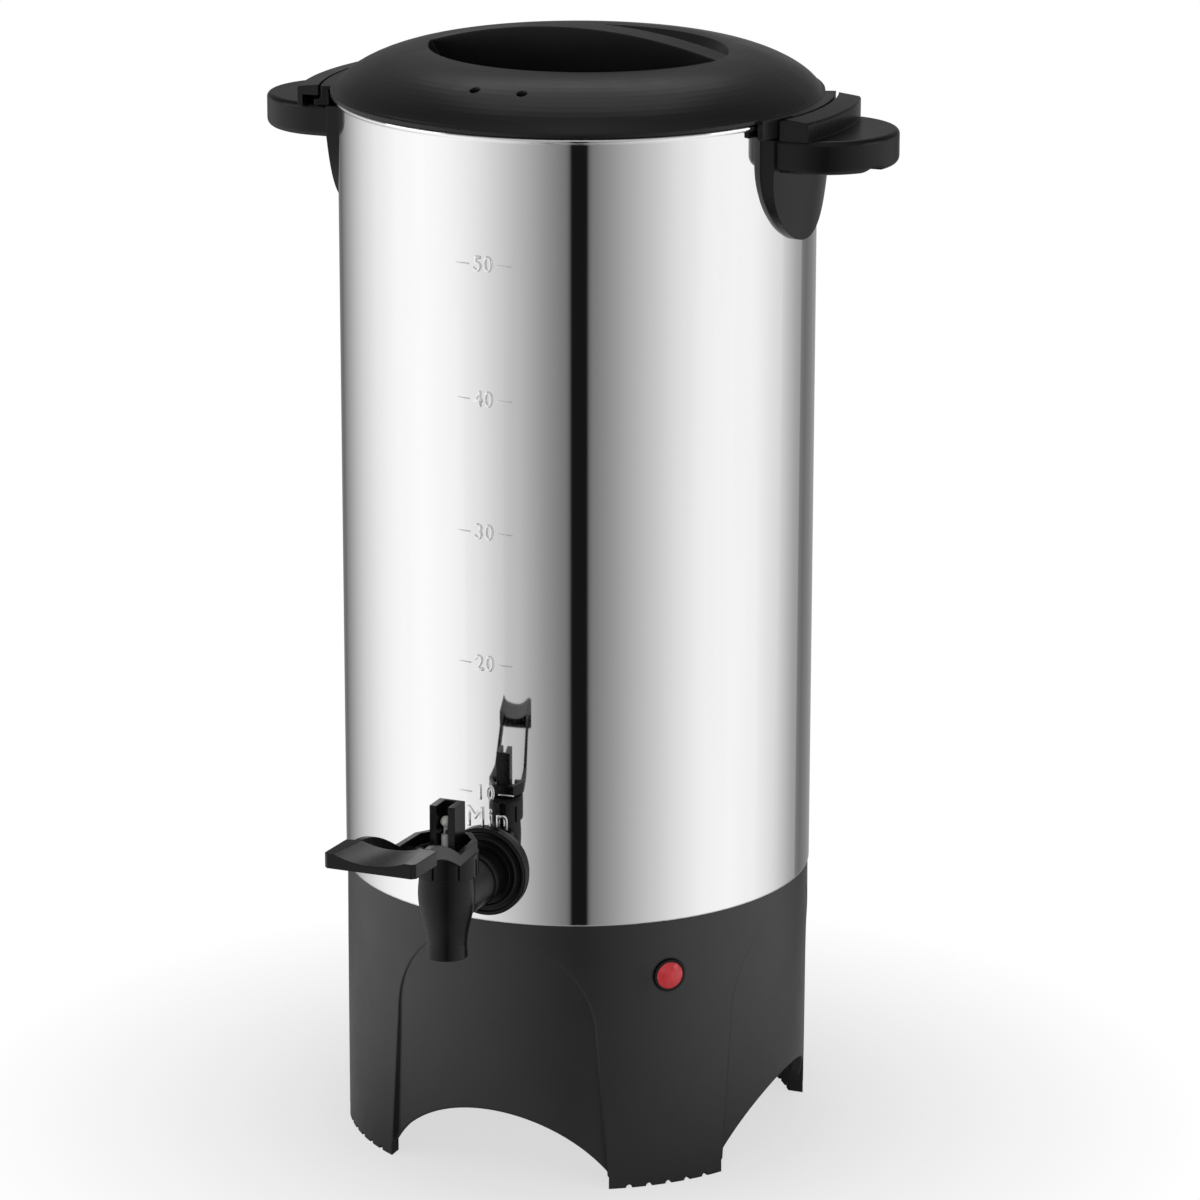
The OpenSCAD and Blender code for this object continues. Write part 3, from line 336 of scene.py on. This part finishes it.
def coil(node, slot, turns, wire, sides=10, per_turn=32):
    """A coil in the node's box, in its place."""
    low, high = (Vector(p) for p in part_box(node))
    middle = (low + high) / 2
    radius = (high.x - low.x) / 2 - wire
    steps = turns * per_turn
    verts, faces = [], []
    for k in range(steps + 1):
        a = 2 * pi * k / per_turn
        z = low.z + wire + (high.z - low.z - 2 * wire) * k / steps
        for q in range(sides):
            b = 2 * pi * q / sides
            r = radius + wire * cos(b)
            verts.append((middle.x + r * cos(a), middle.y + r * sin(a), z + wire * sin(b)))
    for k in range(steps):
        for q in range(sides):
            r = (q + 1) % sides
            i, j = k * sides, (k + 1) * sides
            faces.append((i + q, j + q, j + r, i + r))
    faces.append(tuple(range(sides)))
    faces.append(tuple(steps * sides + q for q in reversed(range(sides))))
    obj = piece(node + "_coil", verts, faces, slot, "root")
    for face in obj.data.polygons:
        face.use_smooth = len(face.vertices) == 4
    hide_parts(node)
    return obj


# The spring rides on the root body, its top under the bonnet, with a mesh of its own
spring = coil("tap_spring", "zinc_steel", SPRING_TURNS, SPRING_WIRE_R)
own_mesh(spring)

# ----------------------------------------------------------------------- camera

VIEW_AZIMUTH = 22.5
VIEW_TILT = 15.9
CAMERA_AT = (0.7968, -1.9237, 0.8114)
SENSOR = 36
# Picture's width, focal length and optical centre in pixels
PICTURE_W = 1200
FOCAL_PX = 5331.84
CENTRE_X = 577.7

camera_data = bpy.data.cameras.new("camera")
camera_data.sensor_width = SENSOR
camera_data.lens = FOCAL_PX * SENSOR / PICTURE_W
camera_data.shift_x = (PICTURE_W / 2 - CENTRE_X) / PICTURE_W
camera = bpy.data.objects.new("camera", camera_data)
bpy.context.scene.collection.objects.link(camera)
camera.location = CAMERA_AT
camera.rotation_euler = (radians(90 - VIEW_TILT), 0, radians(VIEW_AZIMUTH))
bpy.context.scene.camera = camera
bpy.context.scene.view_settings.view_transform = "Standard"

# ----------------------------------------------------------------------- studio

WHITE = (1, 1, 1, 1)
# The steel gives back this share of the light
STEEL_SHARE = 0.92
# A dark flag stands in front, between two broad softboxes. Angles are in degrees
# from the studio's front, and levels are those that a screen shows
FLAG_LEFT, FLAG_RIGHT = -4.4, 5.8
FLAG_EDGE = 0.8
FLAG_LEVEL = 20
GAP_LEVEL = 92
BOX_AT = 80
BOX_RISE, BOX_FALL = 0.9, 2.3
LEFT_BOX = {"top": 251, "end": 100, "fall": 80, "back": 140}
RIGHT_BOX = {"top": 245, "end": 104, "fall": 64, "back": 170}
STEP = 16
# The light above the horizon, from behind through the front and behind again
SKY = [(0.0, 0.19), (0.22, 0.20), (0.5, 0.66), (0.78, 0.18), (1.0, 0.19)]
# Where the sky takes over from the wall, as a share of the way from straight down to straight up
HORIZON = [(0.52, 0.0), (0.58, 1.0)]


def light_of(level):
    """The light that a screen shows as level, of 255."""
    v = level / 255
    return v / 12.92 if v <= 0.04045 else ((v + 0.055) / 1.055) ** 2.4


def box_level(angle, top, end, fall, back):
    """Level of a softbox: it grows up to BOX_AT, falls over fall degrees, then meets the back."""
    if angle <= BOX_AT:
        return GAP_LEVEL + (top - GAP_LEVEL) * sin(pi / 2 * angle / BOX_AT) ** BOX_RISE
    if angle <= BOX_AT + fall:
        return top - (top - end) * ((angle - BOX_AT) / fall) ** BOX_FALL
    return end + (back - end) * (angle - BOX_AT - fall) / (180 - BOX_AT - fall)


def wall_stops():
    """The wall's light from behind on the left, through the front, to behind on the right."""
    angles = [*range(STEP, 180 - STEP, STEP), 180]
    levels = [(-a, box_level(a, **LEFT_BOX)) for a in reversed(angles)]
    levels.append((FLAG_LEFT, box_level(-FLAG_LEFT, **LEFT_BOX)))
    levels.append((FLAG_LEFT + FLAG_EDGE, FLAG_LEVEL))
    levels.append((FLAG_RIGHT - FLAG_EDGE, FLAG_LEVEL))
    levels.append((FLAG_RIGHT, box_level(FLAG_RIGHT, **RIGHT_BOX)))
    levels += [(a, box_level(a, **RIGHT_BOX)) for a in angles]
    return [((a + 180) / 360, light_of(level) / STEEL_SHARE) for a, level in levels]


def background(tree, colour):
    """A background shader of a set colour or of a colour that a node gives."""
    node = tree.nodes.new("ShaderNodeBackground")
    if isinstance(colour, tuple):
        node.inputs["Color"].default_value = colour
    else:
        tree.links.new(colour, node.inputs["Color"])
    return node.outputs[0]


def build_studio():
    """White behind the object, and softboxes and sky in what it reflects."""
    world = bpy.data.worlds.new("studio")
    bpy.context.scene.world = world
    world.use_nodes = True
    tree = world.node_tree
    tree.nodes.clear()
    source = tree.nodes.new("ShaderNodeTexCoord")
    turned = tree.nodes.new("ShaderNodeVectorRotate")
    turned.rotation_type = "Z_AXIS"
    turned.inputs["Angle"].default_value = radians(-VIEW_AZIMUTH)
    axes = tree.nodes.new("ShaderNodeSeparateXYZ")
    tree.links.new(source.outputs["Generated"], turned.inputs["Vector"])
    tree.links.new(turned.outputs["Vector"], axes.inputs[0])
    # 0 and 1 are behind the object, and 0.5 is the studio's front
    forward = math_node(tree, "MULTIPLY", axes.outputs["Y"], -1.0)
    angle = math_node(tree, "ARCTAN2", axes.outputs["X"], forward)
    share = math_node(tree, "MULTIPLY_ADD", angle, 0.5 / pi, 0.5)
    height = math_node(tree, "MULTIPLY_ADD", axes.outputs["Z"], 0.5, 0.5)
    room = tree.nodes.new("ShaderNodeMix")
    room.data_type = "RGBA"
    tree.links.new(ramp(tree, height, HORIZON), room.inputs["Factor"])
    tree.links.new(ramp(tree, share, wall_stops()), room.inputs[6])
    tree.links.new(ramp(tree, share, SKY), room.inputs[7])
    path = tree.nodes.new("ShaderNodeLightPath")
    output = tree.nodes.new("ShaderNodeOutputWorld")
    seen = mix_shader(tree, path.outputs["Is Camera Ray"],
                      background(tree, room.outputs[2]), background(tree, WHITE))
    tree.links.new(seen, output.inputs[0])


build_studio()

# ------------------------------------------------------------------------ floor

FLOOR_R = 0.31
FLOOR_DROP = 0.0002
# Distance from the middle, and how white the floor is there for the camera
WHITE_FADE = [(0.10, 0.66), (0.26, 1.0)]
# The same, for how far it gives way to the studio in reflections, so the steel shows no edge
MIRROR_FADE = [(0.11, 0.0), (0.29, 1.0)]


def floor_material():
    """Pale paper that turns white towards its edge and leaves the reflections there."""
    material, tree, shader = principled("floor_paper")
    where = coords(tree)
    distance = tree.nodes.new("ShaderNodeVectorMath")
    distance.operation = "LENGTH"
    tree.links.new(where, distance.inputs[0])
    shader.inputs["Roughness"].default_value = 0.7
    shader.inputs["Specular IOR Level"].default_value = 0.2
    tree.links.new(vary(tree, noise(tree, where, 260, 4), 0.86, 0.88), shader.inputs["Base Color"])
    glow = tree.nodes.new("ShaderNodeEmission")
    glow.inputs["Color"].default_value = WHITE
    clear = tree.nodes.new("ShaderNodeBsdfTransparent")
    path = tree.nodes.new("ShaderNodeLightPath")
    whiter = math_node(tree, "MULTIPLY", ramp(tree, distance.outputs["Value"], WHITE_FADE),
                       path.outputs["Is Camera Ray"])
    gone = math_node(tree, "MULTIPLY", ramp(tree, distance.outputs["Value"], MIRROR_FADE),
                     path.outputs["Is Glossy Ray"])
    paper = mix_shader(tree, whiter, shader.outputs[0], glow.outputs[0])
    surface = mix_shader(tree, gone, paper, clear.outputs[0])
    tree.links.new(surface, tree.nodes["Material Output"].inputs["Surface"])
    return material


disc = bmesh.new()
bmesh.ops.create_circle(disc, cap_ends=True, segments=128, radius=FLOOR_R)
floor_mesh = bpy.data.meshes.new("floor")
disc.to_mesh(floor_mesh)
disc.free()
floor_mesh.materials.append(floor_material())
floor = bpy.data.objects.new("floor", floor_mesh)
bpy.context.scene.collection.objects.link(floor)
floor.location = (0, 0, -FLOOR_DROP)

# ------------------------------------------------------------------------ lamps

# The middle of the urn, where the lamps point
AIM = Vector((0, 0, 0.22))


def softbox(name, azimuth, height, distance, size, power):
    """A rectangular lamp at an azimuth in degrees from +X, pointed at the urn."""
    light = bpy.data.lights.new(name, "AREA")
    light.shape = "RECTANGLE"
    light.size, light.size_y = size
    light.energy = power
    lamp = bpy.data.objects.new(name, light)
    bpy.context.scene.collection.objects.link(lamp)
    a = radians(azimuth)
    lamp.location = (distance * cos(a), distance * sin(a), height)
    lamp.rotation_euler = (AIM - lamp.location).to_track_quat("-Z", "Y").to_euler()


softbox("key", -150, 0.80, 1.6, (1.0, 0.8), 2.8)
softbox("fill", 10, 0.65, 1.7, (0.9, 0.7), 2.2)
softbox("rim", 112.5, 1.7, 1.4, (1.0, 0.5), 1.4)
softbox("top", 112.5, 1.9, 0.55, (1.2, 0.8), 1.8)
